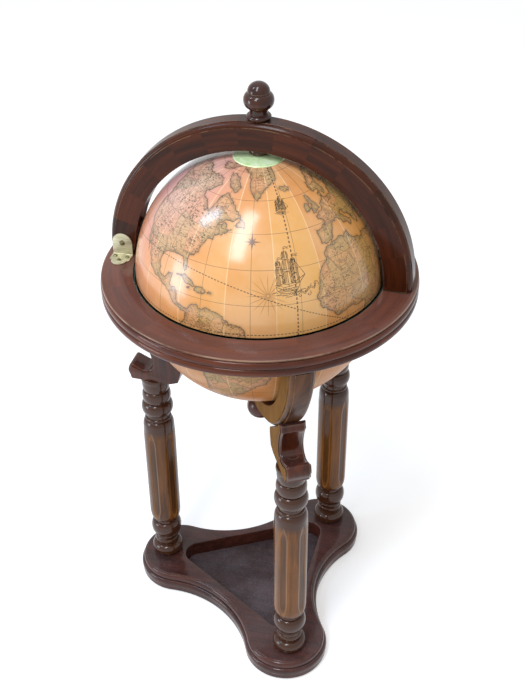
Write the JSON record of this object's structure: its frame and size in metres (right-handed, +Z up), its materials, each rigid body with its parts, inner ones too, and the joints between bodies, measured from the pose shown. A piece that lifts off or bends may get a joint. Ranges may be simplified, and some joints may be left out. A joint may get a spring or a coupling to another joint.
{
  "type": "floor globe bar",
  "caption": "Antique-style globe bar: a globe in a wooden horizon ring on turned legs, its upper half hinged on an arch and opening over a bottle and glass rack.",
  "frame": {"origin": "on the floor, straight under the middle of the globe", "axes": "+Z up; the arch stands along X with its hinge at -X and its free foot at +X; one leg stands under the hinge"},
  "size_m": [0.514, 0.514, 1.0551],
  "materials": {
    "walnut_dark": "glossy dark stain under varnish",
    "walnut_light": "satin brown stain",
    "plain_wood": "matt stained board",
    "map_shell": "varnished map paper on a pressed shell",
    "brass": "pale brushed",
    "steel": "bright zinc",
    "felt": "dark green felt",
    "rubber": "matt black"
  },
  "bodies": {
    "stand": {"base_board": "walnut_dark", "base_panel": "plain_wood", "glide_1": "felt", "glide_2": "felt", "glide_3": "felt", "leg_1": "walnut_light", "leg_2": "walnut_light", "leg_3": "walnut_light", "leg_screw_1": "steel", "leg_screw_2": "steel", "leg_screw_3": "steel", "console_1": "walnut_dark", "console_2": "walnut_dark", "console_3": "walnut_dark", "console_screw_1": "steel", "console_screw_2": "steel", "console_screw_3": "steel", "lower_arm_1": "walnut_light", "lower_arm_2": "walnut_light", "lower_arm_3": "walnut_light", "arm_dowel_1": "plain_wood", "arm_dowel_2": "plain_wood", "arm_dowel_3": "plain_wood", "hub_pad": "rubber", "drop_knob": "walnut_dark", "hub_bolt": "steel", "hub_washer": "steel", "hub_nut": "steel", "horizon_ring": "walnut_dark", "ring_felt": "felt", "lower_bowl": "map_shell", "rack_board": "walnut_light", "rack_floor": "plain_wood", "rack_post_1": "plain_wood", "rack_post_2": "plain_wood", "rack_post_3": "plain_wood", "hinge_bracket_front": "brass", "hinge_bracket_rear": "brass", "bracket_screw_1": "steel", "bracket_screw_2": "steel", "bracket_screw_3": "steel", "bracket_screw_4": "steel", "bracket_screw_5": "steel", "bracket_screw_6": "steel", "hinge_bolt": "steel", "hinge_nut": "steel"},
    "lid": {"arch": "walnut_dark", "foot_pad": "felt", "upper_shell": "map_shell", "pole_cap": "brass", "pole_spacer": "walnut_dark", "finial": "walnut_dark", "pole_stud": "steel", "lid_washer": "steel", "lid_nut": "steel", "side_spacer_hinge": "rubber", "side_spacer_free": "rubber", "side_screw_hinge": "steel", "side_screw_free": "steel"}
  },
  "joints": [
    {"name": "lid_hinge", "type": "hinge", "parent": "stand", "child": "lid", "pos_m": [-0.22675, 0, 0.7631], "axis": [0, -1, 0], "range_deg": [0, 93]}
  ]
}
